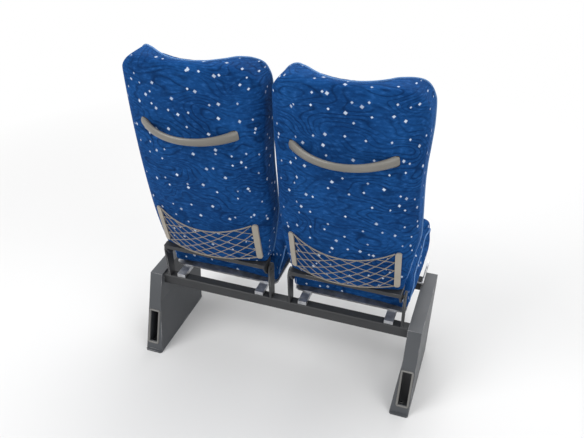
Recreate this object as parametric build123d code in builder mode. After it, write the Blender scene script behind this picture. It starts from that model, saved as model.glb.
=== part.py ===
"""Twin reclining coach seat on two floor legs, in millimetres.

+X is the aisle side, +Y is forward, the way its passengers face, and +Z is up. The origin is on the
floor, in the middle of the seat's width and depth. Both backs stand upright, at recline 0.
"""

import os
from math import asin, cos, pi, radians, sin, sqrt

from build123d import *

os.makedirs("parts", exist_ok=True)

# Whole seat
SEAT_PITCH_X = 459.0
UNIT_DEPTH = 613.0
FRONT_Y = UNIT_DEPTH / 2
REAR_Y = -UNIT_DEPTH / 2
SOFT_GAP = 0.3

# Back: its rear face is an arc about an axis along X, seen from the side
BACK_TOP = 1156.0
BACK_BOTTOM = 440.0
SPINE_RADIUS = 2950.0
BOTTOM_TILT = 16.0
BACK_BOTTOM_Y = -162.0
SPINE_Y = BACK_BOTTOM_Y + SPINE_RADIUS * cos(radians(BOTTOM_TILT))
SPINE_Z = BACK_BOTTOM + SPINE_RADIUS * sin(radians(BOTTOM_TILT))
SWEEP_START = BOTTOM_TILT + 4.0
SWEEP_ARC = 24.0

# Back: half widths of its outline, from the bottom to the top
BOTTOM_HALF = 186.0
HIP_HALF = 219.0
WAIST_HALF = 210.0
SHOULDER_HALF = 219.0
CROWN_HALF = 216.0
BACK_HIGH = BACK_TOP - BACK_BOTTOM
HIP_Z = BACK_BOTTOM + 0.28 * BACK_HIGH
WAIST_Z = BACK_BOTTOM + 0.573 * BACK_HIGH
SHOULDER_Z = BACK_BOTTOM + 0.796 * BACK_HIGH
HIP_ROUND = 200.0
WAIST_ROUND = 900.0
SHOULDER_ROUND = 500.0
CROWN_ROUND = 84.0

# Back: its section behind, and how deep a block its front is cut from
SECTION_HALF = 221.0
REAR_CROWN_RADIUS = 600.0
REAR_CORNER_ROUND = 66.0
CORNER_X = SECTION_HALF - REAR_CORNER_ROUND
CROWN_ANGLE = asin(CORNER_X / (REAR_CROWN_RADIUS - REAR_CORNER_ROUND))
CORNER_DEPTH = REAR_CROWN_RADIUS - (REAR_CROWN_RADIUS - REAR_CORNER_ROUND) * cos(CROWN_ANGLE)
BLOCK_DEPTH = 190.0

# Back: its front face at three heights. Each has the depths of its middle and of the wings ahead of
# the rear face, and how far the curve between them stays level at the wing and in the middle.
FRONT_LOW = (80.0, 112.0, 45.0, 150.0)
FRONT_MIDDLE = (88.0, 150.0, 45.0, 150.0)
FRONT_HIGH = (52.0, 165.0, 20.0, 90.0)
FRONT_MIDDLE_Z = BACK_BOTTOM + 350.0
FRONT_OVERLAP = 14.0
WING_PEAK_X = 200.0
WING_EDGE_X = 226.0
WING_FALL = 28.0

# Back: layers from the rear cover to the front pad, which meet in a seam behind the front face
COVER_THICK = 10.0
SHELL_THICK = 4.0
SHELL_LIP = 3.4
SEAM_SET = 16.0
LIP_BELOW_TOP = 196.0
LIP_TOP = BACK_TOP - LIP_BELOW_TOP

# Grab handle on the rear cover: a bow in one plane, whose flared ends are its highest points
HANDLE_BELOW_TOP = 212.0
HANDLE_END_Z = BACK_TOP - HANDLE_BELOW_TOP
HANDLE_HALF = 139.0
HANDLE_REACH = 38.0
HANDLE_BURIED = 12.0
HANDLE_DROP = 14.0
HANDLE_WIDE = 25.0
HANDLE_THICK = 15.0
HANDLE_END_WIDE = 36.0
HANDLE_END_THICK = 21.0

# Magazine net on the rear cover, with a strip up each end
NET_TOP = 618.0
NET_BOTTOM = 462.0
NET_HALF = 178.0
NET_THICK = 3.0
NET_BULGE = 26.0
NET_SAG = 30.0
STRIP_WIDE = 18.0
STRIP_THICK = 6.0
STRIP_ROUND = 8.0

# Recline hinge: lugs on the back, brackets on the rear beam
HINGE_Y = -118.0
HINGE_Z = 404.0
HINGE_PIN_R = 6.0
PIN_CLEARANCE = 0.05
PIN_END = 2.0
LUG_R = 20.0
LUG_THICK = 6.0
LUG_OUTER = BOTTOM_HALF
BRACKET_GAP = 6.0
BRACKET_THICK = 6.0
BRACKET_R = 22.0
RAIL_HIGH = 14.0
RAIL_DEEP = 60.0
RAIL_INSET = 5.0

# Upholstered flap under the front pad, which closes the slot behind the cushion
FLAP_HALF = 176.0
FLAP_REAR_Y = -95.5
FLAP_FRONT_Y = -85.0
FLAP_THICK = 6.5
FLAP_LOW = 398.0
FLAP_ROUND = 2.5

# Beams between the legs
BEAM_HIGH = 40.0
BEAM_DEEP = 36.0
BEAM_WALL = 3.0
BEAM_ROUND = 5.0
BEAM_TOP = 284.0
REAR_BEAM_Y = -112.0
FRONT_BEAM_Y = 150.0

# Cushion and the pan that carries it
PAN_HALF = 196.0
PAN_THICK = 6.0
PAN_ROUND = 20.0
PAN_FRONT_Y = 262.0
PAN_REAR_Y = -72.0
RUNNER_WIDE = 30.0
RUNNER_HIGH = 14.0
RUNNER_X = 150.0
RUNNER_OVERHANG = 14.0
CUSHION_HALF = 212.5
CUSHION_BOTTOM = BEAM_TOP + RUNNER_HIGH + PAN_THICK + SOFT_GAP
CUSHION_NOSE_Z = 474.0
CUSHION_REAR_Z = 430.0
CUSHION_REAR_Y = -82.0
CUSHION_KNEE_Z = 340.0
CUSHION_TUCK = 34.0
CUSHION_NOSE_ROUND = 62.0
CUSHION_REAR_ROUND = 26.0
CUSHION_LOW_ROUND = 20.0
CUSHION_SIDE_ROUND = 16.0

# Legs
LEG_CLEARANCE = 18.5
LEG_WIDE = 46.0
LEG_FLARE = 18.0
LEG_INNER = SEAT_PITCH_X / 2 + LUG_OUTER + BRACKET_GAP + BRACKET_THICK + PIN_END + LEG_CLEARANCE
LEG_OUTER = LEG_INNER + LEG_WIDE
LEG_FOOT_INNER = LEG_INNER - LEG_FLARE
LEG_TOP = 292.0
LEG_FLARE_Z = 190.0
LEG_WALL = 4.0
LEG_REAR_FOOT_Y = -236.0
LEG_REAR_TOP_Y = -144.0
LEG_FRONT_FOOT_Y = 100.0
LEG_FRONT_TOP_Y = 184.0
WINDOW_LOW = 34.0
WINDOW_HIGH = 150.0
WINDOW_INNER_MARGIN = 2.0
WINDOW_OUTER_MARGIN = 6.0
FOOT_THICK = 6.0
FOOT_MARGIN = 10.0
FOOT_ROUND = 8.0
FOOT_BOLT_R = 5.5
FOOT_BOLT_SPACING = 240.0

# Recline lever beside the cushion
LEVER_X = 221.0
LEVER_Z = BEAM_TOP + RUNNER_HIGH + PAN_THICK / 2
LEVER_R = 4.0
LEVER_STUB_R = 3.0
LEVER_PIVOT_Y = 100.0
LEVER_TIP_Y = 236.0
PADDLE_LONG = 46.0
PADDLE_HIGH = 20.0
PADDLE_THICK = 7.0

# Each seat of the pair: its name, the X of its middle and the side its lever is on
SEATS = (("window", -SEAT_PITCH_X / 2, -1), ("aisle", SEAT_PITCH_X / 2, 1))
# Each leg: its name and its side
LEGS = (("window", -1), ("aisle", 1))


def save(part, name):
    """Labels a finished piece and writes it as its own STEP file."""
    part.label = name
    export_step(part, f"parts/{name}.step")


def spine_plane(seat_x):
    """The plane across the back at its lower end: local X is the width, local Y points to the rear."""
    tilt = radians(SWEEP_START)
    return Plane(
        origin=(seat_x, SPINE_Y, SPINE_Z), x_dir=(1, 0, 0), z_dir=(0, sin(tilt), -cos(tilt))
    )


def spine_axis(seat_x):
    """The axis that the back's sections turn about, which sends them upward."""
    return Axis((seat_x, SPINE_Y, SPINE_Z), (-1, 0, 0))


def across(x, depth):
    """A point of the back's section, from its X and its depth ahead of the rear face."""
    return (x, SPINE_RADIUS - depth)


def rear_corner(side, angle, inset):
    """A point on the rounded corner behind a wing, at an angle from straight to the rear."""
    radius = REAR_CORNER_ROUND - inset
    return across(side * (CORNER_X + radius * sin(angle)), CORNER_DEPTH - radius * cos(angle))


def back_form(seat_x, inset):
    """The whole back without its front shape, inset from the rear face, the sides and the top."""
    with BuildPart() as form:
        with BuildSketch(spine_plane(seat_x)):
            with BuildLine():
                ThreePointArc(
                    rear_corner(-1, CROWN_ANGLE, inset),
                    across(0, inset),
                    rear_corner(1, CROWN_ANGLE, inset),
                )
                for side in (-1, 1):
                    ThreePointArc(
                        rear_corner(side, CROWN_ANGLE, inset),
                        rear_corner(side, (CROWN_ANGLE + pi / 2) / 2, inset),
                        rear_corner(side, pi / 2, inset),
                    )
                Polyline(
                    rear_corner(-1, pi / 2, inset),
                    across(inset - SECTION_HALF, BLOCK_DEPTH),
                    across(SECTION_HALF - inset, BLOCK_DEPTH),
                    rear_corner(1, pi / 2, inset),
                )
            make_face()
        revolve(axis=spine_axis(seat_x), revolution_arc=SWEEP_ARC)
        with BuildSketch(Plane(origin=(seat_x, 0, 0), x_dir=(1, 0, 0), z_dir=(0, -1, 0))):
            with BuildLine():
                FilletPolyline(
                    (0, BACK_BOTTOM),
                    (BOTTOM_HALF - inset, BACK_BOTTOM),
                    (HIP_HALF - inset, HIP_Z),
                    (WAIST_HALF - inset, WAIST_Z),
                    (SHOULDER_HALF - inset, SHOULDER_Z),
                    (CROWN_HALF - inset, BACK_TOP - inset),
                    (0, BACK_TOP - inset),
                    radius=[1.0, HIP_ROUND, WAIST_ROUND, SHOULDER_ROUND, CROWN_ROUND - inset],
                )
                mirror(about=Plane.YZ)
            make_face()
        extrude(amount=UNIT_DEPTH, both=True, mode=Mode.INTERSECT)
    return form.part


def front_curve(z, shape):
    """The front face's curve at a height, as points of two pairs of curves, from left to right."""
    middle_depth, wing_depth, wing_level, middle_level = shape
    middle_y = rear_y(z) + middle_depth
    wing_y = rear_y(z) + wing_depth
    inner = (
        (WING_PEAK_X, wing_y),
        (WING_PEAK_X - wing_level, wing_y),
        (middle_level, middle_y),
        (0.0, middle_y),
    )
    outer = (
        (WING_EDGE_X, wing_y - WING_FALL),
        (WING_EDGE_X, wing_y - WING_FALL / 2),
        (WING_PEAK_X + (WING_EDGE_X - WING_PEAK_X) / 2, wing_y),
        (WING_PEAK_X, wing_y),
    )
    return outer, inner


def ahead(seat_x, back_by):
    """All that lies ahead of the front face, or of its copy moved to the rear."""
    levels = (
        (BACK_BOTTOM - FRONT_OVERLAP, FRONT_LOW),
        (FRONT_MIDDLE_Z, FRONT_MIDDLE),
        (BACK_TOP + FRONT_OVERLAP, FRONT_HIGH),
    )
    with BuildPart() as front:
        for z, shape in levels:
            outer, inner = front_curve(z, shape)
            with BuildSketch(Plane(origin=(seat_x, -back_by, z))):
                with BuildLine():
                    for side in (-1, 1):
                        Bezier(*[(side * x, y) for x, y in outer])
                        Bezier(*[(side * x, y) for x, y in inner])
                    Polyline(
                        (-WING_EDGE_X, outer[0][1]),
                        (-WING_EDGE_X, UNIT_DEPTH),
                        (WING_EDGE_X, UNIT_DEPTH),
                        (WING_EDGE_X, outer[0][1]),
                    )
                make_face()
        loft()
    return front.part


def rear_cover(seat_x):
    """The upholstered rear cover, which wraps round the back's sides and top to the seam."""
    with BuildPart() as cover:
        add(back_form(seat_x, 0.0))
        add(back_form(seat_x, COVER_THICK), mode=Mode.SUBTRACT)
        add(ahead(seat_x, SEAM_SET), mode=Mode.SUBTRACT)
    return cover.part


def back_shell(seat_x):
    """The moulded shell under the rear cover, with a lip that shows in the seam at the sides."""
    outer = COVER_THICK + SOFT_GAP
    lip_set = SEAM_SET - SOFT_GAP
    with BuildPart() as lip:
        add(back_form(seat_x, 0.0))
        add(ahead(seat_x, lip_set), mode=Mode.INTERSECT)
        with BuildSketch(Plane.XY.offset(BACK_BOTTOM)):
            with Locations((seat_x, 0)):
                Rectangle(2 * SECTION_HALF, UNIT_DEPTH)
        extrude(amount=LIP_TOP - BACK_BOTTOM, mode=Mode.INTERSECT)
    with BuildPart() as shell:
        add(back_form(seat_x, outer))
        add(lip.part)
        add(ahead(seat_x, lip_set - SHELL_LIP), mode=Mode.SUBTRACT)
        add(back_form(seat_x, outer + SHELL_THICK), mode=Mode.SUBTRACT)
    return shell.part


def front_pad(seat_x):
    """The back's front upholstery, with a bolster and wing down each side."""
    with BuildPart() as core:
        add(back_form(seat_x, COVER_THICK + SHELL_THICK + 2 * SOFT_GAP))
    with BuildPart() as pad:
        add(back_form(seat_x, 0.0))
        add(ahead(seat_x, SEAM_SET - SHELL_LIP - 2 * SOFT_GAP), mode=Mode.INTERSECT)
        add(core.part)
        add(ahead(seat_x, 0.0), mode=Mode.SUBTRACT)
    return pad.part


def rear_y(z):
    """The Y of the rear cover's face in the back's middle, at a height."""
    return SPINE_Y - sqrt(SPINE_RADIUS**2 - (SPINE_Z - z) ** 2)


def handle(seat_x):
    """The moulded grab handle, one bow whose flared ends stand on the rear cover."""
    drop = radians(HANDLE_DROP)
    bow_plane = Plane(
        origin=(seat_x, rear_y(HANDLE_END_Z), HANDLE_END_Z),
        x_dir=(1, 0, 0),
        z_dir=(0, -sin(drop), cos(drop)),
    )
    end_ahead = REAR_CROWN_RADIUS - sqrt(REAR_CROWN_RADIUS**2 - HANDLE_HALF**2)
    rise = HANDLE_REACH + end_ahead
    radius = (HANDLE_HALF**2 + rise**2) / (2 * rise)
    end_angle = asin(HANDLE_HALF / radius) + HANDLE_BURIED / radius
    end_x = radius * sin(end_angle)
    end_y = radius * (1 - cos(end_angle)) - HANDLE_REACH
    with BuildPart() as bow:
        with BuildLine(bow_plane) as path:
            ThreePointArc((-end_x, end_y), (0, -HANDLE_REACH), (end_x, end_y))
        sizes = (
            (0.0, HANDLE_END_WIDE, HANDLE_END_THICK),
            (0.5, HANDLE_WIDE, HANDLE_THICK),
            (1.0, HANDLE_END_WIDE, HANDLE_END_THICK),
        )
        for along, wide, thick in sizes:
            place = Plane(
                origin=path.line @ along, x_dir=bow_plane.z_dir, z_dir=path.line % along
            )
            with BuildSketch(place):
                Ellipse(wide / 2, thick / 2)
        sweep(multisection=True)
        add(back_form(seat_x, 0.0), mode=Mode.SUBTRACT)
    return bow.part


def net_zone(seat_x, half_width, low_z):
    """A block round the net, open to the front and rear, whose top sags between the strips."""
    with BuildPart() as zone:
        with BuildSketch(Plane(origin=(seat_x, 0, 0), x_dir=(1, 0, 0), z_dir=(0, -1, 0))):
            with BuildLine():
                ThreePointArc((-half_width, NET_TOP), (0, NET_TOP - NET_SAG), (half_width, NET_TOP))
                Polyline(
                    (half_width, NET_TOP),
                    (half_width, low_z),
                    (-half_width, low_z),
                    (-half_width, NET_TOP),
                )
            make_face()
        extrude(amount=UNIT_DEPTH, both=True)
    return zone.part


def net_bulk(seat_x, inset):
    """What lies ahead of the bulging net, which is fast to the strips at its ends."""
    end_x = NET_HALF - STRIP_WIDE
    end_depth = CORNER_DEPTH - sqrt(REAR_CORNER_ROUND**2 - (end_x - CORNER_X) ** 2)
    end_depth += inset - STRIP_THICK
    with BuildPart() as bulk:
        with BuildSketch(spine_plane(seat_x)):
            with BuildLine():
                ThreePointArc(
                    across(-end_x, end_depth),
                    across(0, inset - NET_BULGE),
                    across(end_x, end_depth),
                )
                Polyline(
                    across(end_x, end_depth),
                    across(end_x, BLOCK_DEPTH),
                    across(-end_x, BLOCK_DEPTH),
                    across(-end_x, end_depth),
                )
            make_face()
        revolve(axis=spine_axis(seat_x), revolution_arc=SWEEP_ARC)
    return bulk.part


def net(seat_x):
    """The magazine net as a thin bulging sheet, closed to the cover along its lower edge."""
    half_width = NET_HALF - STRIP_WIDE
    with BuildPart() as pocket:
        add(net_bulk(seat_x, NET_THICK))
        add(net_zone(seat_x, half_width, NET_BOTTOM + NET_THICK), mode=Mode.INTERSECT)
    with BuildPart() as sheet:
        add(net_bulk(seat_x, 0.0))
        add(net_zone(seat_x, half_width, NET_BOTTOM), mode=Mode.INTERSECT)
        add(back_form(seat_x, 0.0), mode=Mode.SUBTRACT)
        add(pocket.part, mode=Mode.SUBTRACT)
    return sheet.part


def net_strips(seat_x):
    """The two moulded strips that hold the net's ends to the rear cover."""
    with BuildPart() as strips:
        add(back_form(seat_x, -STRIP_THICK))
        with BuildSketch(Plane(origin=(seat_x, 0, 0), x_dir=(1, 0, 0), z_dir=(0, -1, 0))):
            middle = NET_HALF - STRIP_WIDE / 2
            with Locations(*[(side * middle, (NET_TOP + NET_BOTTOM) / 2) for side in (-1, 1)]):
                RectangleRounded(STRIP_WIDE, NET_TOP - NET_BOTTOM, STRIP_ROUND)
        extrude(amount=UNIT_DEPTH, both=True, mode=Mode.INTERSECT)
        add(back_form(seat_x, 0.0), mode=Mode.SUBTRACT)
    return strips.part


def back_frame(seat_x):
    """The steel rail under the back, with a lug and a hinge pin at each end."""
    rail_y = BACK_BOTTOM_Y + RAIL_INSET + RAIL_DEEP / 2
    rail_low = BACK_BOTTOM - RAIL_HIGH
    with BuildPart() as frame:
        with BuildSketch(Plane.XY.offset(rail_low)):
            with Locations((seat_x, rail_y)):
                Rectangle(2 * LUG_OUTER, RAIL_DEEP)
        extrude(amount=RAIL_HIGH)
        for side in (-1, 1):
            with BuildSketch(Plane.YZ.offset(seat_x + side * LUG_OUTER)):
                with Locations((HINGE_Y, HINGE_Z)):
                    Circle(LUG_R)
                with Locations((rail_y, rail_low + RAIL_HIGH / 2)):
                    Rectangle(RAIL_DEEP, RAIL_HIGH)
                make_hull()
            extrude(amount=-side * LUG_THICK)
            with BuildSketch(Plane.YZ.offset(seat_x + side * LUG_OUTER)):
                with Locations((HINGE_Y, HINGE_Z)):
                    Circle(HINGE_PIN_R)
            extrude(amount=side * (BRACKET_GAP + BRACKET_THICK + PIN_END))
    return frame.part


def back_flap(seat_x):
    """The upholstered flap that hangs from the front pad's lower edge, behind the cushion."""
    flap_top = BACK_BOTTOM - SOFT_GAP
    with BuildPart() as flap:
        with BuildSketch(Plane.YZ.offset(seat_x - FLAP_HALF)):
            with BuildLine():
                FilletPolyline(
                    (FLAP_REAR_Y, flap_top),
                    (FLAP_REAR_Y, FLAP_LOW),
                    (FLAP_REAR_Y + FLAP_THICK, FLAP_LOW),
                    (FLAP_FRONT_Y, flap_top),
                    radius=FLAP_ROUND,
                )
                Line((FLAP_FRONT_Y, flap_top), (FLAP_REAR_Y, flap_top))
            make_face()
        extrude(amount=2 * FLAP_HALF)
    return flap.part


def bracket(seat_x, side):
    """One steel hinge bracket, which stands on the rear beam."""
    with BuildPart() as plate:
        with BuildSketch(Plane.YZ.offset(seat_x + side * (LUG_OUTER + BRACKET_GAP))):
            with Locations((HINGE_Y, HINGE_Z)):
                Circle(BRACKET_R)
            with Locations((REAR_BEAM_Y, BEAM_TOP + BRACKET_R / 2)):
                Rectangle(BEAM_DEEP, BRACKET_R)
            make_hull()
            with Locations((HINGE_Y, HINGE_Z)):
                Circle(HINGE_PIN_R + PIN_CLEARANCE, mode=Mode.SUBTRACT)
        extrude(amount=side * BRACKET_THICK)
    return plate.part


def cushion(seat_x):
    """The seat cushion, highest at its nose and lower under the back."""
    with BuildPart() as block:
        with BuildSketch(Plane.YZ.offset(seat_x - CUSHION_HALF)):
            with BuildLine():
                FilletPolyline(
                    (CUSHION_REAR_Y, CUSHION_BOTTOM),
                    (CUSHION_REAR_Y, CUSHION_REAR_Z),
                    (FRONT_Y, CUSHION_NOSE_Z),
                    (FRONT_Y, CUSHION_KNEE_Z),
                    (FRONT_Y - CUSHION_TUCK, CUSHION_BOTTOM),
                    radius=[
                        CUSHION_LOW_ROUND,
                        CUSHION_REAR_ROUND,
                        CUSHION_NOSE_ROUND,
                        CUSHION_REAR_ROUND,
                        CUSHION_LOW_ROUND,
                    ],
                    close=True,
                )
            make_face()
        extrude(amount=2 * CUSHION_HALF)
        sides = block.faces().filter_by(Axis.X)
        fillet(sides.edges(), radius=CUSHION_SIDE_ROUND)
    return block.part


def pan(seat_x):
    """The cushion's pan: a plate on two runners, which rest on both beams."""
    runner_from = REAR_BEAM_Y - RUNNER_OVERHANG
    runner_to = FRONT_BEAM_Y + RUNNER_OVERHANG
    with BuildPart() as tray:
        with BuildSketch(Plane.XY.offset(BEAM_TOP + RUNNER_HIGH)):
            with Locations((seat_x, (PAN_FRONT_Y + PAN_REAR_Y) / 2)):
                RectangleRounded(2 * PAN_HALF, PAN_FRONT_Y - PAN_REAR_Y, PAN_ROUND)
        extrude(amount=PAN_THICK)
        with BuildSketch(Plane.XY.offset(BEAM_TOP)):
            runner_y = (runner_from + runner_to) / 2
            with Locations((seat_x - RUNNER_X, runner_y), (seat_x + RUNNER_X, runner_y)):
                Rectangle(RUNNER_WIDE, runner_to - runner_from)
        extrude(amount=RUNNER_HIGH)
    return tray.part


def beam(beam_y):
    """A square tube between the legs."""
    with BuildPart() as tube:
        with BuildSketch(Plane.YZ.offset(-LEG_INNER)):
            with Locations((beam_y, BEAM_TOP - BEAM_HIGH / 2)):
                RectangleRounded(BEAM_DEEP, BEAM_HIGH, BEAM_ROUND)
                Rectangle(BEAM_DEEP - 2 * BEAM_WALL, BEAM_HIGH - 2 * BEAM_WALL, mode=Mode.SUBTRACT)
        extrude(amount=2 * LEG_INNER)
    return tube.part


def leg_prism(side, inset, front_extra):
    """The leg's outer form, or its hollow when it is inset by the wall."""
    top = LEG_TOP - inset
    with BuildPart() as prism:
        with BuildSketch(Plane.XZ):
            with BuildLine():
                Polyline(
                    (side * (LEG_OUTER - inset), FOOT_THICK),
                    (side * (LEG_OUTER - inset), top),
                    (side * (LEG_INNER + inset), top),
                    (side * (LEG_INNER + inset), LEG_FLARE_Z),
                    (side * (LEG_FOOT_INNER + inset), FOOT_THICK),
                    close=True,
                )
            make_face()
        extrude(amount=UNIT_DEPTH, both=True)
        with BuildSketch(Plane.YZ):
            with BuildLine():
                Polyline(
                    (LEG_REAR_FOOT_Y + inset, FOOT_THICK),
                    (LEG_REAR_TOP_Y + inset, LEG_TOP),
                    (LEG_FRONT_TOP_Y + front_extra, LEG_TOP),
                    (LEG_FRONT_FOOT_Y + front_extra, FOOT_THICK),
                    close=True,
                )
            make_face()
        extrude(amount=2 * LEG_OUTER, both=True, mode=Mode.INTERSECT)
    return prism.part


def leg(side):
    """A pressed steel leg: a channel open to the front, with a window low in its rear wall."""
    window_from = LEG_INNER + LEG_WALL + WINDOW_INNER_MARGIN
    window_to = LEG_OUTER - LEG_WALL - WINDOW_OUTER_MARGIN
    with BuildPart() as channel:
        add(leg_prism(side, 0.0, 0.0))
        add(leg_prism(side, LEG_WALL, LEG_WALL + 1.0), mode=Mode.SUBTRACT)
        with BuildSketch(Plane.XZ.offset(-LEG_REAR_TOP_Y)):
            with Locations((side * (window_from + window_to) / 2, (WINDOW_LOW + WINDOW_HIGH) / 2)):
                Rectangle(window_to - window_from, WINDOW_HIGH - WINDOW_LOW)
        extrude(amount=LEG_REAR_TOP_Y - LEG_REAR_FOOT_Y, mode=Mode.SUBTRACT)
    return channel.part


def foot(side):
    """The foot plate under a leg, with its two floor bolt holes."""
    foot_x = side * (LEG_FOOT_INNER + LEG_OUTER) / 2
    foot_y = (LEG_REAR_FOOT_Y + LEG_FRONT_FOOT_Y) / 2
    with BuildPart() as plate:
        with BuildSketch():
            with Locations((foot_x, foot_y)):
                RectangleRounded(
                    LEG_OUTER - LEG_FOOT_INNER,
                    LEG_FRONT_FOOT_Y - LEG_REAR_FOOT_Y + 2 * FOOT_MARGIN,
                    FOOT_ROUND,
                )
                with Locations((0, -FOOT_BOLT_SPACING / 2), (0, FOOT_BOLT_SPACING / 2)):
                    Circle(FOOT_BOLT_R, mode=Mode.SUBTRACT)
        extrude(amount=FOOT_THICK)
    return plate.part


def recline_lever(seat_x, side):
    """The rod beside the cushion that frees the back, with a paddle at its front end."""
    lever_x = seat_x + side * LEVER_X
    with BuildPart() as lever:
        with BuildSketch(Plane.XZ.offset(-LEVER_PIVOT_Y)):
            with Locations((lever_x, LEVER_Z)):
                Circle(LEVER_R)
        extrude(amount=LEVER_PIVOT_Y - LEVER_TIP_Y + PADDLE_LONG / 2)
        with BuildSketch(Plane.YZ.offset(seat_x + side * PAN_HALF)):
            with Locations((LEVER_PIVOT_Y + LEVER_R, LEVER_Z)):
                Circle(LEVER_STUB_R)
        extrude(amount=side * (LEVER_X - PAN_HALF))
        with BuildSketch(Plane.YZ.offset(lever_x - PADDLE_THICK / 2)):
            with Locations((LEVER_TIP_Y - PADDLE_LONG / 2, LEVER_Z)):
                SlotOverall(PADDLE_LONG, PADDLE_HIGH)
        extrude(amount=PADDLE_THICK)
    return lever.part


for seat_name, seat_x, lever_side in SEATS:
    save(rear_cover(seat_x), f"rear_cover_{seat_name}")
    save(back_shell(seat_x), f"back_shell_{seat_name}")
    save(front_pad(seat_x), f"front_pad_{seat_name}")
    save(back_flap(seat_x), f"back_flap_{seat_name}")
    save(handle(seat_x), f"handle_{seat_name}")
    save(net(seat_x), f"net_{seat_name}")
    save(net_strips(seat_x), f"net_strips_{seat_name}")
    save(back_frame(seat_x), f"back_frame_{seat_name}")
    save(bracket(seat_x, -1), f"bracket_{seat_name}_left")
    save(bracket(seat_x, 1), f"bracket_{seat_name}_right")
    save(cushion(seat_x), f"cushion_{seat_name}")
    save(pan(seat_x), f"pan_{seat_name}")
    save(recline_lever(seat_x, lever_side), f"recline_lever_{seat_name}")

for beam_name, beam_y in (("rear", REAR_BEAM_Y), ("front", FRONT_BEAM_Y)):
    save(beam(beam_y), f"beam_{beam_name}")

for leg_name, side in LEGS:
    save(leg(side), f"leg_{leg_name}")
    save(foot(side), f"foot_{leg_name}")
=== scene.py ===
"""The looks of the twin reclining coach seat unit: velour covers with piping, sewn front pads and
seat cushions, knotted nets, and the finishes of its plastic and steel. Lengths are in metres."""

from math import cos, pi, radians, sin

import bmesh
import bpy
import numpy as np
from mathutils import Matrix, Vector
from mathutils.bvhtree import BVHTree


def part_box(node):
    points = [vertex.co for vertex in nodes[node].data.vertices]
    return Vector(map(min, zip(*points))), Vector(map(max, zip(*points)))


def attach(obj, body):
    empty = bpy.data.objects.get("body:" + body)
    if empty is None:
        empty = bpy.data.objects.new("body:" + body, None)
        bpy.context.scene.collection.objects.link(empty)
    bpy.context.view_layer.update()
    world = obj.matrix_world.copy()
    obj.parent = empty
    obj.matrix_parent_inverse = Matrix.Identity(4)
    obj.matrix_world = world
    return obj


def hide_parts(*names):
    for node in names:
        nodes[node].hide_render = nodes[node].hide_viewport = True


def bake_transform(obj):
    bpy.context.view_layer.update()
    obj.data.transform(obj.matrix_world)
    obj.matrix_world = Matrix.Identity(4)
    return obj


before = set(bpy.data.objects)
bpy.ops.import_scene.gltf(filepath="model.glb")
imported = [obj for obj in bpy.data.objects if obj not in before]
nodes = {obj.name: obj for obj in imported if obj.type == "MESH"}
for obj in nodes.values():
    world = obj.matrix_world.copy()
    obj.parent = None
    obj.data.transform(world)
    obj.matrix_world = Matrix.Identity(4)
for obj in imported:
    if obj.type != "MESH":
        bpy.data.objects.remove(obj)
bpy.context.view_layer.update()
scene = bpy.context.scene
SEATS = ("window", "aisle")

# Camera: the photograph's viewpoint, with a longer lens so that the whole unit fills the view.
CAMERA_AT = Vector((0.63, -1.81, 1.79))
CAMERA_AIM = Vector((0.01, -0.03, 0.56))
CAMERA_LENS = 41.5

# Studio.
FLOOR_HALF = 30.0
FLOOR_GREY = 0.72
FLOOR_FADE = (1.1, 2.6)
ROOM_LIGHT = 0.55
BACKGROUND = 1.0
LAMPS = {
    # name: (place, width, watts)
    "key": ((-2.3, -2.6, 3.2), 2.4, 105.0),
    "fill": ((2.9, -2.0, 2.2), 2.6, 48.0),
    "top": ((0.3, 0.9, 3.6), 2.8, 60.0),
    "front": ((0.2, 3.2, 1.8), 2.4, 42.0),
}
LAMP_AIM = Vector((0.0, 0.0, 0.6))
WHITE = (1.0, 1.0, 1.0, 1.0)

# Velour: deep blue pile with darker wavy lines, scattered small white lozenges, and a paler blue
# painted on as sheen along the brushed pile.
VELOUR_BLUE = (0.0045, 0.044, 0.165, 1.0)
VELOUR_DARK = (0.0010, 0.016, 0.066, 1.0)
VELOUR_LIGHT = (0.009, 0.070, 0.240, 1.0)
VELOUR_PAINTED_SHEEN = (0.028, 0.125, 0.370, 1.0)
CLOTH_STRETCH = (0.60, 1.35, 1.0)
CONTOUR_HILLS = 4.2
CONTOUR_LEVELS = 30.0
LOZENGE_WHITE = (0.60, 0.68, 0.80, 1.0)
LOZENGE_HALF = 0.0042
LOZENGE_CELLS = ((0.058, 0.0, 0.66), (0.071, 0.6, 0.72))
# The piping's pale blues are partly the cord's own colour and partly a painted highlight along the
# seam's edge.
PIPING_BLUE_AND_HIGHLIGHT = (0.130, 0.295, 0.600, 1.0)
PIPING_DARK_AND_HIGHLIGHT = (0.060, 0.170, 0.410, 1.0)

# Rear covers: the crown's edge is softened, and a cord is piped along the seam.
COVER_VOXEL = 0.004
COVER_EASE = 0.08
CROWN_EASE = 0.55
CROWN_SOFTEN = 46
CROWN_HIGH = 0.050
CROWN_HIGH_FADE = 0.030
CROWN_DEEP = 0.085
CROWN_DEEP_FADE = 0.040
CROWN_CORNER_X = 0.132
CROWN_CORNER_DROP = 0.084
CLOTH_LEVEL = 0.012
WELD = 2e-6
PIPING_THICK = 0.0056
PIPING_PROUD = 0.0022
PIPING_STEP = 0.014

# Stuffing, seams and sewn channels.
CLOTH_FRAMES = 20
CLOTH_PRESSURE = 4.0
FOAM_ROUNDS = 40
FOAM_WRINKLE = 0.30
SEAM_WIDE = 0.0080
SEAM_DEEP = 0.0105
PANEL_FADE = 0.010

# Front pads.
PAD_VOXEL = 0.006
PAD_ROUNDS = 6
PAD_SUNK = 0.004
PAD_EDGE_OUT = 0.0025
PAD_CAP = 0.010
PAD_SHARE = (0.15, 1.0, 0.15)
PAD_TOP_EASED = 0.050
PAD_TOP_DROP = 0.0075
PAD_PANEL_HALF = 0.148
PAD_PANEL_WAIST = 0.012
PAD_CHANNELS = (0.520, 0.590, 0.660, 0.730, 0.925)
PAD_CLOTH_FROM = 3.0

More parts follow.
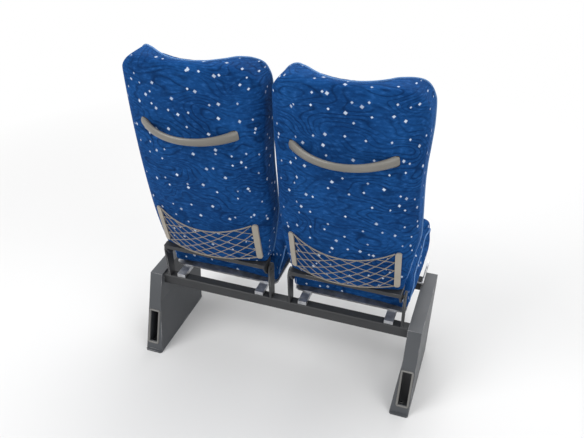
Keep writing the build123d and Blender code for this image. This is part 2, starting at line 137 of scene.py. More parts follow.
# Seat cushions: a crown, a bolster down each side, a seam across the nose, and piping.
CUSHION_ROUNDS = 8
CUSHION_SHRUNK = 0.007
CUSHION_CAP = 0.020
CROWN_ACROSS = 0.45
CROWN_AHEAD = 0.40
BOLSTER_WIDE = 0.066
BOLSTER_RISE = 0.013
NOSE_SEAM = 0.085
CUSHION_SHOULDER = 0.045
CUSHION_CLOTH_FROM = 3.0
PIPING_INSET = 0.012
PIPING_FROM = radians(-13)
PIPING_TO = radians(194)
PIPING_POINTS = 60
PIPING_ROUNDS = 24
RAY_FROM = 0.6

# Nets.
NET_ACROSS = 6
NET_ROWS = 4
NET_SAG = 0.030
NET_CORD = 0.0025
NET_HEM = 0.0042
NET_HEM_STEPS = 28
NET_KNOT = 1.75
NET_KNOT_REACH = 0.13
NET_MARGIN = 0.004

# Small parts.
FLAP_VOXEL = 0.003
FLAP_FORWARD = 0.0125
FLAP_WAVE = 0.0012
FLAP_WAVES = 48.0
HANDLE_FOOT_ANGLE = 0.55
GASKET_THICK = 0.0032
LEG_WINDOW = (0.454, 0.484, 0.034, 0.150)
LEG_RIM_OUT = 0.0035
LEG_RIM_THICK = 0.0075


def new_piece(name, data):
    """A new object in the scene that holds this mesh or curve."""
    piece = bpy.data.objects.new(name, data)
    scene.collection.objects.link(piece)
    return piece


def settled(piece):
    """Applies a piece's modifiers to its mesh."""
    graph = bpy.context.evaluated_depsgraph_get()
    mesh = bpy.data.meshes.new_from_object(piece.evaluated_get(graph), depsgraph=graph)
    piece.modifiers.clear()
    old = piece.data
    piece.data = mesh
    bpy.data.meshes.remove(old)
    return piece


def points_of(mesh):
    """A mesh's vertices as an array."""
    points = np.zeros(len(mesh.vertices) * 3)
    mesh.vertices.foreach_get("co", points)
    return points.reshape(-1, 3)


def normals_of(mesh):
    """A mesh's vertex normals as an array."""
    normals = np.zeros(len(mesh.vertices) * 3)
    mesh.vertex_normals.foreach_get("vector", normals)
    return normals.reshape(-1, 3)


def move_points(mesh, points):
    """Writes an array of places back to a mesh's vertices."""
    mesh.vertices.foreach_set("co", points.ravel())
    mesh.update()


def relaxed(mesh, points, weights, rounds):
    """The points after so many rounds of drawing each towards the middle of its neighbours."""
    edges = np.zeros(len(mesh.edges) * 2, np.int64)
    mesh.edges.foreach_get("vertices", edges)
    one, other = edges.reshape(-1, 2).T
    count = np.bincount(one, minlength=len(points)) + np.bincount(other, minlength=len(points))
    count = np.maximum(count, 1)
    points = points.copy()
    for _ in range(rounds):
        for axis in range(3):
            total = np.bincount(one, points[other, axis], len(points))
            total += np.bincount(other, points[one, axis], len(points))
            points[:, axis] += weights * (total / count - points[:, axis])
    return points


def skin_of(node, name, voxel):
    """A new piece with an even skin of small faces over a CAD node's shape."""
    mesh = nodes[node].data.copy()
    mesh.materials.clear()
    piece = new_piece(name, mesh)
    remesh = piece.modifiers.new("skin", "REMESH")
    remesh.mode = "VOXEL"
    remesh.voxel_size = voxel
    remesh.use_smooth_shade = True
    return settled(piece)


def swell(piece, cap, share=(1.0, 1.0, 1.0)):
    """Lets the cloth of a pad swell like stuffing, no point moving further than the cap.

    The share of each direction's movement is kept, so that firm foam can hold a pad's outline.
    """
    before = points_of(piece.data)
    cloth = piece.modifiers.new("cloth", "CLOTH")
    cloth.settings.use_pressure = True
    cloth.settings.uniform_pressure_force = CLOTH_PRESSURE
    cloth.settings.quality = 5
    cloth.settings.mass = 0.3
    cloth.settings.tension_stiffness = 15
    cloth.settings.bending_stiffness = 4.0
    cloth.settings.effector_weights.gravity = 0
    for number in range(1, CLOTH_FRAMES + 1):
        scene.frame_set(number)
    settled(piece)
    scene.frame_set(1)
    step = (points_of(piece.data) - before) * share
    broad = relaxed(piece.data, step, 0.5, FOAM_ROUNDS)
    step = broad + FOAM_WRINKLE * (step - broad)
    far = np.linalg.norm(step, axis=1, keepdims=True)
    step *= np.minimum(1.0, cap / np.maximum(far, 1e-9))
    move_points(piece.data, before + step)


def skin_tree(mesh):
    """A mesh's faces as a tree for rays and nearest points."""
    return BVHTree.FromPolygons([v.co for v in mesh.vertices], [p.vertices[:] for p in mesh.polygons])


def middle_of(node):
    """The x of a node's middle."""
    low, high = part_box(node)
    return (low.x + high.x) / 2


def cloth_places(piece, middle, across, along):
    """Stores where each face corner lies on the flat cloth, from values at the mesh's vertices."""
    corners = corners_of(piece.data)[0]
    store_places(piece.data, (across + middle)[corners], along[corners])


def store_places(mesh, across, along):
    """Stores the places on the flat cloth of a mesh's face corners, for the pattern."""
    places = np.zeros((len(mesh.loops), 3))
    places[:, 0] = across
    places[:, 1] = along
    layer = mesh.attributes.new("cloth_place", "FLOAT_VECTOR", "CORNER")
    layer.data.foreach_set("vector", places.ravel())


def corners_of(mesh):
    """The vertex and the face of each face corner."""
    vertex = np.zeros(len(mesh.loops), np.int64)
    mesh.loops.foreach_get("vertex_index", vertex)
    total = np.zeros(len(mesh.polygons), np.int64)
    mesh.polygons.foreach_get("loop_total", total)
    return vertex, np.repeat(np.arange(len(total)), total)


def welded(node):
    """A CAD node's shape with its doubled vertices joined, so that its edges have two faces."""
    skin = bmesh.new()
    skin.from_mesh(nodes[node].data)
    bmesh.ops.remove_doubles(skin, verts=skin.verts, dist=WELD)
    return skin


def walk(edges, pick):
    """The vertices met one after another along these edges, from the one that pick chooses."""
    after = {}
    for edge in edges:
        for vert in edge.verts:
            after.setdefault(vert, []).append(edge.other_vert(vert))
    vert = pick(after)
    line = [vert]
    seen = {vert}
    while ahead := [v for v in after[vert] if v not in seen]:
        vert = ahead[0]
        seen.add(vert)
        line.append(vert)
    return [v.co.copy() for v in line]


def tube(name, lines, thick, rounded=True):
    """A new curve piece: round cords through lists of points, each with its own radius factor."""
    curve = bpy.data.curves.new(name, "CURVE")
    curve.dimensions = "3D"
    curve.bevel_depth = thick / 2
    curve.bevel_resolution = 3
    curve.use_fill_caps = True
    for line in lines:
        spline = curve.splines.new("NURBS" if rounded else "POLY")
        spline.points.add(len(line) - 1)
        for point, (place, factor) in zip(spline.points, line):
            point.co = (*place, 1.0)
            point.radius = factor
        if rounded:
            spline.order_u = 3
            spline.use_endpoint_u = True
        spline.use_smooth = True
    return new_piece(name, curve)


# Materials.


class Nodes:
    """A node tree being built, of a material or of the world."""

    def __init__(self, tree):
        self.tree = tree

    def add(self, kind, links=(), **settings):
        """A node with its settings; links pairs an input's name or number with a socket or value."""
        node = self.tree.nodes.new(kind)
        for key, value in settings.items():
            setattr(node, key, value)
        for key, value in links:
            if isinstance(value, bpy.types.NodeSocket):
                self.tree.links.new(value, node.inputs[key])
            else:
                node.inputs[key].default_value = value
        return node

    def math(self, operation, *values):
        """The result of a Math node."""
        return self.add("ShaderNodeMath", enumerate(values), operation=operation).outputs[0]

    def looked_at(self):
        """1 for rays from the camera, off a glossy surface or through a clear one, else 0."""
        path = self.add("ShaderNodeLightPath").outputs
        seen = self.math("MAXIMUM", path["Is Camera Ray"], path["Is Glossy Ray"])
        return self.math("MAXIMUM", seen, path["Is Transmission Ray"])


class Look(Nodes):
    """A material being built: its shader and the few node calls that the looks share."""

    def __init__(self, name, roughness, metallic=0.0):
        self.material = bpy.data.materials.new(name)
        self.material.use_nodes = True
        super().__init__(self.material.node_tree)
        self.shader = self.tree.nodes["Principled BSDF"]
        self.shader.inputs["Roughness"].default_value = roughness
        self.shader.inputs["Metallic"].default_value = metallic
        self.object_place = self.add("ShaderNodeTexCoord").outputs["Object"]

    def noise(self, scale, detail=2.0, place=None, rough=0.5):
        """The grey of a noise texture."""
        links = [("Vector", place or self.object_place), ("Scale", scale), ("Detail", detail)]
        return self.add("ShaderNodeTexNoise", links + [("Roughness", rough)]).outputs["Fac"]

    def ramp(self, value, low, high, to_low=0.0, to_high=1.0):
        """The value spread from one range to another, held at both ends."""
        links = [("Value", value), ("From Min", low), ("From Max", high)]
        links += [("To Min", to_low), ("To Max", to_high)]
        return self.add("ShaderNodeMapRange", links, clamp=True).outputs["Result"]

    def mix(self, factor, one, other):
        """The mix of two colours."""
        node = self.add("ShaderNodeMix", [("Factor", factor)], data_type="RGBA")
        for socket, value in ((node.inputs[6], one), (node.inputs[7], other)):
            if isinstance(value, bpy.types.NodeSocket):
                self.tree.links.new(value, socket)
            else:
                socket.default_value = value
        return node.outputs[2]

    def finish(self, colour, roughness=None, height=None, depth=0.001):
        """Joins the colour, roughness and bump to the shader and gives the material."""
        self.tree.links.new(colour, self.shader.inputs["Base Color"])
        if roughness is not None:
            self.tree.links.new(roughness, self.shader.inputs["Roughness"])
        if height is not None:
            bump = self.add("ShaderNodeBump", [("Height", height), ("Distance", depth)])
            self.tree.links.new(bump.outputs["Normal"], self.shader.inputs["Normal"])
        return self.material


def lozenges(look, place, cell, turn, kept, metric):
    """Where the scattered lozenges lie: one at most in each cell of the cloth."""
    turned = look.add("ShaderNodeMapping", [("Vector", place), ("Rotation", (0.0, 0.0, turn))])
    links = [("Vector", turned.outputs[0]), ("Scale", 1 / cell), ("Randomness", 0.85)]
    cells = look.add("ShaderNodeTexVoronoi", links, voronoi_dimensions="2D", distance=metric)
    reach = LOZENGE_HALF / cell
    inside = look.ramp(cells.outputs["Distance"], reach * 0.75, reach * 1.2, 1.0, 0.0)
    picked = look.add("ShaderNodeSeparateColor", [(0, cells.outputs["Color"])])
    bright = look.ramp(picked.outputs[1], 0.0, 1.0, 0.55, 1.0)
    chance = look.math("LESS_THAN", picked.outputs[0], kept)
    return look.math("MULTIPLY", look.math("MULTIPLY", inside, bright), chance)


def velour(name):
    """Cut-pile velour: shaded by its nap, with a painted sheen on the brushed pile, contour lines and
    scattered lozenges.
    """
    look = Look(name, 0.9)
    place = look.add("ShaderNodeAttribute", attribute_name="cloth_place").outputs["Vector"]
    nap = look.noise(7.0, 3.0, place)
    colour = look.mix(look.ramp(nap, 0.36, 0.68), VELOUR_BLUE, VELOUR_LIGHT)
    pile = look.noise(900.0, 2.0, place)
    colour = look.mix(look.ramp(pile, 0.40, 0.75, 0.0, 0.45), colour, VELOUR_DARK)
    links = [("Vector", place), ("Scale", CLOTH_STRETCH)]
    stretched = look.add("ShaderNodeMapping", links).outputs[0]
    brushed = look.noise(80.0, 3.0, stretched, 0.6)
    colour = look.mix(look.ramp(brushed, 0.50, 0.70, 0.0, 0.45), colour, VELOUR_DARK)
    # A paler blue is painted where the brushed pile catches the light: painted sheen.
    colour = look.mix(look.ramp(brushed, 0.32, 0.47, 0.42, 0.0), colour, VELOUR_PAINTED_SHEEN)
    height = look.math("ADD", look.math("MULTIPLY", pile, 0.5), look.math("MULTIPLY", brushed, 0.9))
    hills = look.noise(CONTOUR_HILLS, 2.0, stretched, 0.44)
    levels = look.math("PINGPONG", look.math("MULTIPLY", hills, CONTOUR_LEVELS), 0.5)
    width = look.ramp(look.noise(34.0, 3.0, place), 0.35, 0.66, 0.10, 0.34)
    line = look.math("SUBTRACT", 1.0, look.ramp(levels, 0.0, width))
    patch = look.ramp(look.noise(8.0, 1.0, place), 0.36, 0.58, 0.40, 1.0)
    line = look.math("MULTIPLY", line, patch)
    colour = look.mix(look.math("MULTIPLY", line, 0.80), colour, VELOUR_DARK)
    spots = None
    for (cell, turn, kept), metric in zip(LOZENGE_CELLS, ("MANHATTAN", "CHEBYCHEV")):
        made = lozenges(look, place, cell, turn, kept, metric)
        spots = made if spots is None else look.math("MAXIMUM", spots, made)
    colour = look.mix(spots, colour, LOZENGE_WHITE)
    height = look.math("SUBTRACT", height, look.math("MULTIPLY", line, 0.35))
    look.shader.inputs["Sheen Weight"].default_value = 0.20
    look.shader.inputs["Sheen Roughness"].default_value = 0.34
    look.shader.inputs["Sheen Tint"].default_value = (0.10, 0.36, 1.0, 1.0)
    look.shader.inputs["Specular IOR Level"].default_value = 0.06
    rough = look.ramp(nap, 0.3, 0.7, 0.82, 0.96)
    return look.finish(colour, rough, height, 0.0009)


def woven(name, colour, dark, scale):
    """A ribbed woven cord or tape."""
    look = Look(name, 0.75)
    links = [("Vector", look.object_place), ("Scale", scale), ("Distortion", 1.2)]
    rib = look.add("ShaderNodeTexWave", links, bands_direction="DIAGONAL").outputs["Fac"]
    wear = look.noise(60.0, 3.0)
    shade = look.mix(look.ramp(rib, 0.1, 0.7), dark, colour)
    shade = look.mix(look.ramp(wear, 0.45, 0.8, 0.0, 0.5), shade, dark)
    return look.finish(shade, look.ramp(wear, 0.3, 0.7, 0.62, 0.85), rib, 0.0004)


def plastic(name, colour, worn, roughness, grain=420.0, depth=0.00012):
    """Moulded plastic with a fine grain and dull, paler wear."""
    look = Look(name, roughness)
    patches = look.noise(9.0, 4.0)
    leather = look.add("ShaderNodeTexVoronoi", [("Vector", look.object_place), ("Scale", grain)])
    shade = look.mix(look.ramp(patches, 0.5, 0.8, 0.0, 0.55), colour, worn)
    fine = look.noise(grain * 1.7, 2.0)
    rough = look.ramp(patches, 0.3, 0.75, roughness, min(1.0, roughness + 0.2))
    height = look.math("ADD", leather.outputs["Distance"], look.math("MULTIPLY", fine, 0.4))
    return look.finish(shade, rough, height, depth)


def painted(name, colour, bare, roughness, wear=0.62):
    """Powder-coated steel: fine orange peel, dust in patches, and bare metal along worn edges."""
    look = Look(name, roughness)
    bevel = look.add("ShaderNodeBevel", [("Radius", 0.0022)], samples=6)
    flat = look.add("ShaderNodeNewGeometry").outputs["Normal"]
    links = [(0, bevel.outputs[0]), (1, flat)]
    turn = look.add("ShaderNodeVectorMath", links, operation="DOT_PRODUCT")
    edge = look.ramp(turn.outputs["Value"], 0.93, 0.995, 1.0, 0.0)
    patches = look.noise(16.0, 5.0)
    rubbed = look.math("MULTIPLY", edge, look.ramp(patches, wear - 0.12, wear, 0.0, 0.8))
    dust = look.ramp(look.noise(4.0, 3.0), 0.45, 0.8, 0.0, 0.35)
    shade = look.mix(dust, colour, tuple(min(1.0, c * 1.7 + 0.01) for c in colour[:3]) + (1.0,))
    shade = look.mix(rubbed, shade, bare)
    rough = look.math("SUBTRACT", look.ramp(patches, 0.2, 0.8, roughness, roughness + 0.18), rubbed)
    return look.finish(shade, look.math("MAXIMUM", rough, 0.3), look.noise(700.0, 2.0), 0.00008)


def plated(name, colour, roughness):
    """Zinc-plated steel with faint rolling marks and dull spangle."""
    look = Look(name, roughness, 0.9)
    stretched = look.add(
        "ShaderNodeMapping", [("Vector", look.object_place), ("Scale", (3.0, 90.0, 90.0))]
    )
    rolled = look.noise(6.0, 4.0, stretched.outputs[0])
    spangle = look.noise(45.0, 3.0)
    dull = tuple(c * 0.55 for c in colour[:3]) + (1.0,)
    shade = look.mix(look.ramp(spangle, 0.35, 0.7), colour, dull)
    return look.finish(shade, look.ramp(rolled, 0.3, 0.7, roughness, roughness + 0.25), rolled, 0.00006)


COVER = velour("cover_velour")
PIPING = woven("piping_cord_and_highlight", PIPING_BLUE_AND_HIGHLIGHT, PIPING_DARK_AND_HIGHLIGHT, 700.0)
SHELL = plastic("shell_plastic", (0.009, 0.009, 0.010, 1.0), (0.024, 0.024, 0.026, 1.0), 0.58)
HANDLE = plastic(
    "handle_plastic", (0.155, 0.146, 0.128, 1.0), (0.26, 0.25, 0.225, 1.0), 0.27, 700.0, 0.00004
)
GASKET = plastic("gasket_rubber", (0.010, 0.010, 0.010, 1.0), (0.025, 0.025, 0.025, 1.0), 0.7)
STRIP = plastic("strip_plastic", (0.30, 0.27, 0.225, 1.0), (0.42, 0.40, 0.36, 1.0), 0.5)
CORD = woven("net_cord", (0.36, 0.32, 0.27, 1.0), (0.16, 0.14, 0.115, 1.0), 900.0)
FRAME_STEEL = painted(
    "frame_steel", (0.020, 0.021, 0.023, 1.0), (0.34, 0.34, 0.35, 1.0), 0.45
)
LEG_STEEL = painted("leg_steel", (0.052, 0.056, 0.062, 1.0), (0.42, 0.42, 0.43, 1.0), 0.42)
# Paler grey on the leg windows' rims: a painted highlight along the pressed edge.
LEG_RIM_HIGHLIGHT = painted("rim_steel_painted_highlight", (0.145, 0.142, 0.135, 1.0), (0.50, 0.50, 0.50, 1.0), 0.38)
PAN_STEEL = plated("pan_steel", (0.52, 0.53, 0.55, 1.0), 0.32)
LEVER_METAL = plated("lever_metal", (0.60, 0.60, 0.61, 1.0), 0.22)

FINISHES = {
    "back_shell": SHELL,
    "handle": HANDLE,
    "net_strips": STRIP,
    "back_frame": FRAME_STEEL,
    "bracket": FRAME_STEEL,
    "beam": FRAME_STEEL,
    "leg": LEG_STEEL,
    "foot": LEG_STEEL,
    "pan": PAN_STEEL,
    "recline_lever": LEVER_METAL,
}
for name, node in nodes.items():
    for start, material in FINISHES.items():
        if name.startswith(start):
            for place in node.material_slots:
                place.material = material


# Covers over the rear of each back.


def cover_run(points, middle, top):
    """Across and along the rear cover's cloth: flat on the rear, and on round the sides and top."""
    across = points[:, 0] - middle
    level = np.round(points[:, 2] / CLOTH_LEVEL).astype(int)
    level -= level.min()
    rear = np.full(level.max() + 1, 9.0)
    np.minimum.at(rear, level, points[:, 1])
    depth = points[:, 1] - rear[level]
    sideways = np.maximum(np.abs(across) - CROWN_CORNER_X, 0) + 0.01
    upwards = np.maximum(points[:, 2] - top + CROWN_CORNER_DROP, 0) + 0.01
    share = sideways**2 / (sideways**2 + upwards**2)
    return across + np.sign(across) * depth * share, points[:, 2] + depth * (1 - share)


def seam_line(node):
    """The points of a cover's front outer edge, from one bottom corner over the top to the other."""
    low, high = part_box(node)
    middle = (low + high) / 2
    skin = welded(node)
    rim = []
    for edge in skin.edges:
        if len(edge.link_faces) != 2:
            continue
        front, side = sorted(edge.link_faces, key=lambda face: -face.normal.y)
        place = (edge.verts[0].co + edge.verts[1].co) / 2
        out = Vector((place.x - middle.x, 0.0, place.z - middle.z)).normalized()
        if place.z > low.z + 0.004 and front.normal.dot(side.normal) < 0.75:
            if front.normal.y > 0.3 and side.normal.dot(out) > 0.4:
                rim.append(edge)

    def lowest_left(verts):
        """The lowest of these vertices on the side where x is smaller."""
        return min((v for v in verts if v.co.x < middle.x), key=lambda v: v.co.z)

    points = walk(rim, lowest_left)
    skin.free()
    return points


def evenly(points, step):
    """Points a step apart along a line."""
    kept = [points[0]]
    gone = 0.0
    for one, other in zip(points, points[1:]):
        gone += (other - one).length
        if gone >= step:
            kept.append(other)
            gone = 0.0
    kept.append(points[-1])
    return kept


def rear_cover(seat):
    """The velour cover on a back's rear: drawn over the shell, soft at its crown, piped at its seam."""
    node = f"rear_cover_{seat}"
    low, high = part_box(node)
    middle = middle_of(node)
    piece = skin_of(node, f"rear_velour_{seat}", COVER_VOXEL)
    mesh = piece.data
    points = points_of(mesh)
    high_up = np.clip((points[:, 2] - (high.z - CROWN_HIGH)) / CROWN_HIGH_FADE, 0, 1)
    rearward = np.clip((low.y + CROWN_DEEP - points[:, 1]) / CROWN_DEEP_FADE, 0, 1)
    weights = COVER_EASE + CROWN_EASE * high_up * rearward
    points = relaxed(mesh, points, weights, CROWN_SOFTEN)
    move_points(mesh, points)
    cloth_places(piece, middle, *cover_run(points, middle, high.z))
    mesh.materials.append(COVER)
    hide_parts(node)
    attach(piece, f"back_{seat}")
    skin = skin_tree(mesh)
    line = []
    for point in evenly(seam_line(node), PIPING_STEP):
        place, outward = skin.find_nearest(point)[:2]
        line.append((place + outward * PIPING_PROUD, 1.0))
    piping = tube(f"piping_{seat}", [line], PIPING_THICK)
    piping.data.materials.append(PIPING)
    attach(piping, f"back_{seat}")


# Front pads and seat cushions.


def groove(distance):
    """How deep the cloth is drawn in, this far from a seam."""
    return SEAM_DEEP * np.exp(-((distance / SEAM_WIDE) ** 2))


def front_pad(seat, swollen):
    """The front of a back: wings each side of a middle panel with sewn channels, and a head panel."""
    node = f"front_pad_{seat}"
    low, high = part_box(node)
    middle = middle_of(node)
    if swollen is None:
        piece = skin_of(node, f"front_velour_{seat}", PAD_VOXEL)
        mesh = piece.data
        points = relaxed(mesh, points_of(mesh), 0.5, PAD_ROUNDS)
        move_points(mesh, points)
        points += normals_of(mesh) * (PAD_EDGE_OUT, -PAD_SUNK, PAD_EDGE_OUT)
        move_points(mesh, points)
        swell(piece, PAD_CAP, PAD_SHARE)
        points = points_of(mesh := piece.data)
        eased = np.clip((points[:, 2] - (high.z - PAD_TOP_EASED)) / PAD_TOP_EASED, 0, 1)
        points[:, 2] -= PAD_TOP_DROP * eased**2
        move_points(mesh, points)
        normals = normals_of(mesh)
        facing = np.clip((normals[:, 1] - 0.25) / 0.3, 0, 1)
        across = np.abs(points[:, 0] - middle)
        level = points[:, 2]
        up = (level - low.z) / (high.z - low.z)
        panel_edge = PAD_PANEL_HALF - PAD_PANEL_WAIST * np.cos(up * 2 * pi)
        sunk = groove(across - panel_edge)
        inside = np.clip((panel_edge - across) / PANEL_FADE, 0, 1)
        for height in PAD_CHANNELS:
            sunk = np.maximum(sunk, groove(level - height) * inside)
        points -= normals * (sunk * facing)[:, None]
        move_points(mesh, points)
    else:
        piece = new_piece(f"front_velour_{seat}", swollen.data.copy())
        piece.data.materials.clear()
        piece.data.attributes.remove(piece.data.attributes["cloth_place"])
        points = points_of(piece.data)
        points[:, 0] += middle - middle_of(f"front_pad_{SEATS[0]}")
        move_points(piece.data, points)

    points = points_of(piece.data)
    cloth_places(piece, middle, points[:, 0] - middle, points[:, 2] + PAD_CLOTH_FROM)
    piece.data.materials.append(COVER)
    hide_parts(node)
    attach(piece, f"back_{seat}")
    return piece


def around(skin, middle, x):
    """A smooth line on a cushion's skin near one x, from its front foot over the top to the rear."""
    hits = []
    for number in range(PIPING_POINTS + 1):
        angle = PIPING_FROM + (PIPING_TO - PIPING_FROM) * number / PIPING_POINTS
        way = Vector((0.0, cos(angle), sin(angle)))
        outside = Vector((x, middle.y, middle.z)) + way * RAY_FROM
        hit = skin.ray_cast(outside, -way)[0]
        if hit is not None:
            hits.append(hit)
    for _ in range(PIPING_ROUNDS):
        inner = [(a + b * 2 + c) / 4 for a, b, c in zip(hits, hits[1:], hits[2:])]
        hits = [hits[0], *inner, hits[-1]]
    line = []
    for hit in hits:
        place, outward = skin.find_nearest(hit)[:2]
        line.append(place + outward * PIPING_PROUD * 0.6)
    return line


def seat_cushion(seat, swollen):
    """The seat cushion: a crowned pad with bolsters at its sides and piping round both ends."""
    node = f"cushion_{seat}"
    low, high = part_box(node)
    centre = (low + high) / 2
    half = (high.x - low.x) / 2
    if swollen is None:
        piece = skin_of(node, f"seat_velour_{seat}", PAD_VOXEL)
        mesh = piece.data
        points = relaxed(mesh, points_of(mesh), 0.5, CUSHION_ROUNDS)
        move_points(mesh, points)
        points -= normals_of(mesh) * CUSHION_SHRUNK
        points[:, 2] = np.maximum(points[:, 2], low.z)
        move_points(mesh, points)
        panel = half - BOLSTER_WIDE
        aside = np.clip(np.abs(points[:, 0] - centre.x) / panel, 0, 1)
        ahead = np.clip(np.abs(points[:, 1] - centre.y) / (high.y - centre.y), 0, 1)
        crown = (1 - CROWN_ACROSS * aside**2) * (1 - CROWN_AHEAD * ahead**2)
        swell(piece, CUSHION_CAP * crown[:, None])
        points = points_of(mesh := piece.data)
        normals = normals_of(mesh)
        across = np.abs(points[:, 0] - centre.x)
        sunk = groove(across - panel) * np.clip(normals[:, 2] + normals[:, 1], 0, 1)
        bolster = np.sin(pi * np.clip((across - panel) / (BOLSTER_WIDE - 0.006), 0, 1))
        bolster *= BOLSTER_RISE * np.clip(normals[:, 2] + 0.4 * normals[:, 1], 0, 1)
        nose = groove(points[:, 1] - (high.y - NOSE_SEAM)) * np.clip(normals[:, 2], 0, 1)
        nose *= np.clip((panel - across) / PANEL_FADE, 0, 1)
        points += normals * (bolster - np.maximum(sunk, nose))[:, None]
        points[:, 2] = np.maximum(points[:, 2], low.z)
        move_points(mesh, points)
    else:
        piece = new_piece(f"seat_velour_{seat}", swollen.data.copy())
        piece.data.materials.clear()
        piece.data.attributes.remove(piece.data.attributes["cloth_place"])
        points = points_of(piece.data)
        points[:, 0] += centre.x - middle_of(f"cushion_{SEATS[0]}")
        move_points(piece.data, points)

    mesh = piece.data
    vertex, face = corners_of(mesh)
    points = points_of(mesh)[vertex]
    across = points[:, 0] - centre.x
    count = np.bincount(face)
    side = (np.bincount(face, np.abs(across)) / count > half - PIPING_INSET)[face]
    drop = high.z - points[:, 2]
    ahead = points[:, 1] - centre.y
    sideways = np.maximum(np.abs(across) - half + CUSHION_SHOULDER, 0) + 0.002
    forward = np.maximum(np.abs(ahead) - high.y + centre.y + CUSHION_SHOULDER, 0) + 0.002
    share = np.where(side, 1.0, sideways**4 / (sideways**4 + forward**4))
    along = points[:, 1] + np.sign(ahead) * drop * (1 - share) - CUSHION_CLOTH_FROM
    store_places(mesh, centre.x + across + np.sign(across) * drop * share, along)
    mesh.materials.append(COVER)
    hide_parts(node)
    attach(piece, "root")
    skin = skin_tree(mesh)
    lines = []
    for side in (-1, 1):
        x = centre.x + side * (half - PIPING_INSET)
        lines.append([(place, 1.0) for place in around(skin, centre, x)])
    piping = tube(f"seat_piping_{seat}", lines, PIPING_THICK * 0.9)
    piping.data.materials.append(PIPING)
    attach(piping, "root")
    return piece


# Nets.


def net(seat):
    """A knotted net between its two strips: crossing cords with knots, and a hem at each edge."""
    node = f"net_{seat}"
    low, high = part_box(node)
    middle = (low.x + high.x) / 2
    half = (high.x - low.x) / 2
    solid = bmesh.new()
    solid.from_mesh(nodes[node].data)
    skin = BVHTree.FromBMesh(solid)
    solid.free()

    def at(across, up):
        """The place on the net's surface, across from -1 to 1 and up from 0 to 1."""
        x = middle + across * half * 0.992
        top = high.z - NET_MARGIN - NET_SAG * (1 - across**2)
        z = low.z + NET_MARGIN + up * (top - low.z - NET_MARGIN)
        hit = skin.ray_cast(Vector((x, -1.0, z)), Vector((0.0, 1.0, 0.0)))[0]
        if hit is None:
            hit = Vector((x, (low.y + high.y) / 2, z))
        return hit + Vector((0.0, 0.0012, 0.0))

    columns = 2 * NET_ACROSS
    rows = 2 * NET_ROWS
    lines = []
    for lean in (1, -1):
        for first in range(-rows, columns + 1):
            knots = []
            for row in range(rows + 1):
                column = first + row if lean > 0 else first + rows - row
                if 0 <= column <= columns and (column + row) % 2 == 0:
                    knots.append(at(-1 + 2 * column / columns, row / rows))
            if len(knots) < 2:
                continue
            line = [(knots[0], NET_KNOT)]
            for one, other in zip(knots, knots[1:]):
                line.append((one.lerp(other, NET_KNOT_REACH), 1.0))
                line.append((one.lerp(other, 1 - NET_KNOT_REACH), 1.0))
                line.append((other, NET_KNOT))
            lines.append(line)
    cords = tube(f"net_cords_{seat}", lines, NET_CORD, rounded=False)
    hems = []
    for up in (0.0, 1.0):
        spots = [at(-1 + 2 * number / NET_HEM_STEPS, up) for number in range(NET_HEM_STEPS + 1)]
        hems.append([(spot, 1.0) for spot in spots])
    hem = tube(f"net_hems_{seat}", hems, NET_HEM)
    for piece in (cords, hem):
        piece.data.materials.append(CORD)
        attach(piece, f"back_{seat}")
    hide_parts(node)


def back_flap(seat):
    """The velour flap behind a cushion: its foot leans forward, and a slight wave runs across it."""
    node = f"back_flap_{seat}"
    low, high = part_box(node)
    piece = skin_of(node, f"flap_velour_{seat}", FLAP_VOXEL)
    points = relaxed(piece.data, points_of(piece.data), 0.3, 3)
    points[:, 1] += FLAP_WAVE * np.sin((points[:, 0] - middle_of(node)) * FLAP_WAVES)
    points[:, 1] += FLAP_FORWARD * np.clip((high.z - points[:, 2]) / (high.z - low.z), 0, 1)
    move_points(piece.data, points)
    cloth_places(piece, 0.0, points[:, 0], points[:, 2] + PAD_CLOTH_FROM)
    piece.data.materials.append(COVER)
    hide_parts(node)
    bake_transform(piece)


def handle_gaskets(seat):
    """The dark rubber line round each foot of a grab handle, where it stands on the velour."""
    node = f"handle_{seat}"
    middle = middle_of(node)
    skin = welded(node)
    lines = []
    for side in (-1, 1):
        foot = []
        for edge in skin.edges:
            sharp = len(edge.link_faces) == 2 and edge.calc_face_angle() > HANDLE_FOOT_ANGLE
            if sharp and (edge.verts[0].co.x - middle) * side > 0:
                foot.append(edge)
        ring = walk(foot, lambda verts: max(verts, key=lambda v: v.co.z))
        lines.append([(place, 1.0) for place in [*ring, ring[0]]])
    skin.free()
    gaskets = tube(f"handle_gaskets_{seat}", lines, GASKET_THICK, rounded=False)
    gaskets.data.materials.append(GASKET)
    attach(gaskets, f"back_{seat}")


def leg_rim(name, side):
    """The pressed rim round the window low in a leg's rear wall, painted paler than the leg as a
    highlight along the window's edge.
    """
    inner, outer, low, high = LEG_WINDOW
    skin = skin_tree(nodes[f"leg_{name}"].data)
    line = []
    corners = [(outer, high), (inner, high), (inner, low), (outer, low)]
    turns = [(0, pi / 2), (pi / 2, pi), (pi, 3 * pi / 2), (3 * pi / 2, 2 * pi)]
    for (x, z), (start, stop) in zip(corners, turns):
        for number in range(5):
            angle = start + (stop - start) * number / 4
            place_x = side * (x + LEG_RIM_OUT * cos(angle))
            place_z = z + LEG_RIM_OUT * sin(angle)
            hit = skin.ray_cast(Vector((place_x, -1.0, place_z)), Vector((0.0, 1.0, 0.0)))[0]
            line.append((hit, 1.0))
    line.append(line[0])
    rim = tube(f"leg_rim_{name}", [line], LEG_RIM_THICK, rounded=False)
    rim.data.materials.append(LEG_RIM_HIGHLIGHT)
    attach(rim, "root")


pad = None
cushion = None
for seat in SEATS:
    rear_cover(seat)
    pad = front_pad(seat, pad)
    cushion = seat_cushion(seat, cushion)
    net(seat)
    back_flap(seat)
    handle_gaskets(seat)
for name, side in (("window", -1), ("aisle", 1)):
    leg_rim(name, side)

# Studio and camera.

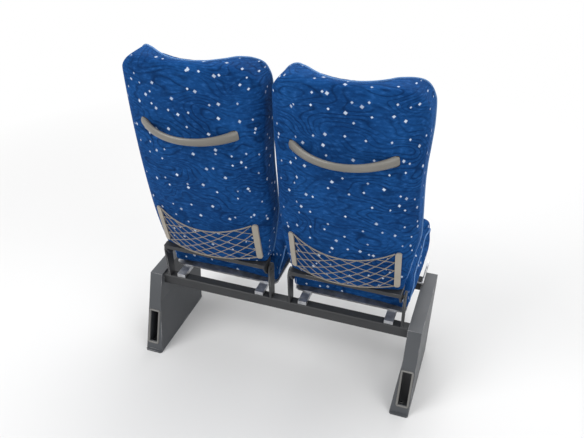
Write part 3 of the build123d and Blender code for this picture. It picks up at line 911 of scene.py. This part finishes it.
camera = new_piece("camera", bpy.data.cameras.new("camera"))
camera.location = CAMERA_AT
camera.rotation_euler = (CAMERA_AIM - CAMERA_AT).to_track_quat("-Z", "Y").to_euler()
camera.data.lens = CAMERA_LENS
scene.camera = camera
scene.view_settings.view_transform = "Standard"

floor_mesh = bpy.data.meshes.new("floor")
corners = [(-1, -1), (1, -1), (1, 1), (-1, 1)]
floor_mesh.from_pydata(
    [(x * FLOOR_HALF, y * FLOOR_HALF, 0.0) for x, y in corners], [], [(0, 1, 2, 3)]
)
floor = new_piece("floor", floor_mesh)
floor_look = Look("floor_paper", 0.9)
paper = (FLOOR_GREY, FLOOR_GREY, FLOOR_GREY, 1.0)
pale = tuple(c * 0.97 for c in paper[:3]) + (1.0,)
floor_mesh.materials.append(floor_look.finish(floor_look.mix(floor_look.noise(0.7), paper, pale)))
far = floor_look.add("ShaderNodeVectorMath", [(0, floor_look.object_place)], operation="LENGTH")
white = floor_look.add("ShaderNodeEmission", [("Color", WHITE)])
distance = floor_look.ramp(far.outputs["Value"], *FLOOR_FADE)
fade = floor_look.math("MULTIPLY", distance, floor_look.looked_at())
sheet = floor_look.add(
    "ShaderNodeMixShader", [(0, fade), (1, floor_look.shader.outputs[0]), (2, white.outputs[0])]
)
ground = floor_look.tree.nodes["Material Output"]
floor_look.tree.links.new(sheet.outputs[0], ground.inputs["Surface"])

for name, (place, width, watts) in LAMPS.items():
    lamp = new_piece(name, bpy.data.lights.new(name, "AREA"))
    lamp.data.size = width
    lamp.data.energy = watts
    lamp.location = place
    lamp.rotation_euler = (LAMP_AIM - Vector(place)).to_track_quat("-Z", "Y").to_euler()

world = bpy.data.worlds.new("studio")
world.use_nodes = True
scene.world = world
sky = Nodes(world.node_tree)
room = sky.tree.nodes["Background"]
room.inputs["Color"].default_value = WHITE
room.inputs["Strength"].default_value = ROOM_LIGHT
backdrop = sky.add("ShaderNodeBackground", [("Color", WHITE), ("Strength", BACKGROUND)])
links = [(0, sky.looked_at()), (1, room.outputs[0]), (2, backdrop.outputs[0])]
shown = sky.add("ShaderNodeMixShader", links)
sky.tree.links.new(shown.outputs[0], sky.tree.nodes["World Output"].inputs["Surface"])
